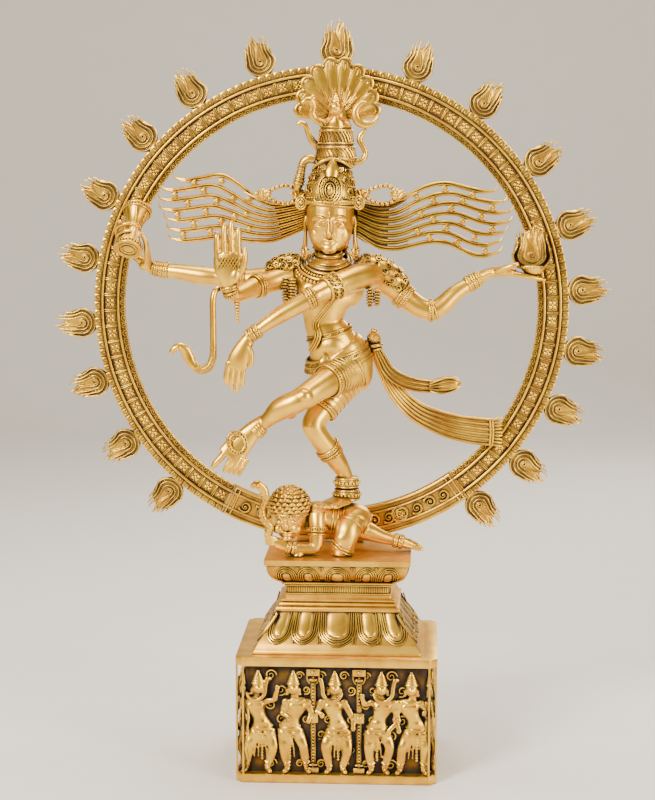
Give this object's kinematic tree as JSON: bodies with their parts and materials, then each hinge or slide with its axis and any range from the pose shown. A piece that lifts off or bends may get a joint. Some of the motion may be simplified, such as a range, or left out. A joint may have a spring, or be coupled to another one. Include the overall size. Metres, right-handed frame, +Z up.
{
  "type": "dancing figure statue",
  "caption": "Cast brass dancing figure with four arms inside a ring of flames, on a lotus pedestal over a relief-carved box.",
  "frame": {"origin": "middle of the lower box's open bottom, on the surface that the statue stands on", "axes": "+Z up, front of the statue towards -Y, +X to the viewer's right"},
  "size_m": [0.6494, 0.1828, 0.8609],
  "materials": {
    "brass": "polished high spots, dark antique patina in the recesses",
    "dark_brass": "cast relief with heavy dark patina behind the figures",
    "steel": "zinc plated"
  },
  "bodies": {
    "root": {"lower_box": "brass", "lotus_pedestal": "brass", "seat_plate": "brass", "ring_arch": "brass", "ring_foot_left": "brass", "ring_foot_right": "brass", "top_flame": "brass", "torso": "brass", "head": "brass", "crown": "brass", "crown_bust": "brass", "crown_fan": "brass", "crescent": "brass", "collar": "brass", "waist_belt": "brass", "loincloth": "brass", "hair_left": "brass", "hair_right": "brass", "rear_right_arm": "brass", "rear_left_arm": "brass", "front_right_arm": "brass", "front_left_arm": "brass", "drum": "brass", "fire_bowl": "brass", "arm_snake": "brass", "sash_knot": "brass", "sash_upper": "brass", "sash_lower": "brass", "standing_leg": "brass", "raised_leg": "brass", "dwarf_body": "brass", "dwarf_head": "brass", "dwarf_snake": "brass", "flame_left_1": "brass", "flame_left_2": "brass", "flame_left_3": "brass", "flame_left_4": "brass", "flame_left_5": "brass", "flame_left_6": "brass", "flame_left_7": "brass", "flame_left_8": "brass", "flame_left_9": "brass", "flame_right_1": "brass", "flame_right_2": "brass", "flame_right_3": "brass", "flame_right_4": "brass", "flame_right_5": "brass", "flame_right_6": "brass", "flame_right_7": "brass", "flame_right_8": "brass", "flame_right_9": "brass", "relief_front": "dark_brass", "relief_back": "dark_brass", "relief_left": "dark_brass", "relief_right": "dark_brass", "pedestal_bolts": "steel", "ring_studs": "steel", "figure_studs": "steel", "stud_nuts": "steel"}
  },
  "joints": []
}
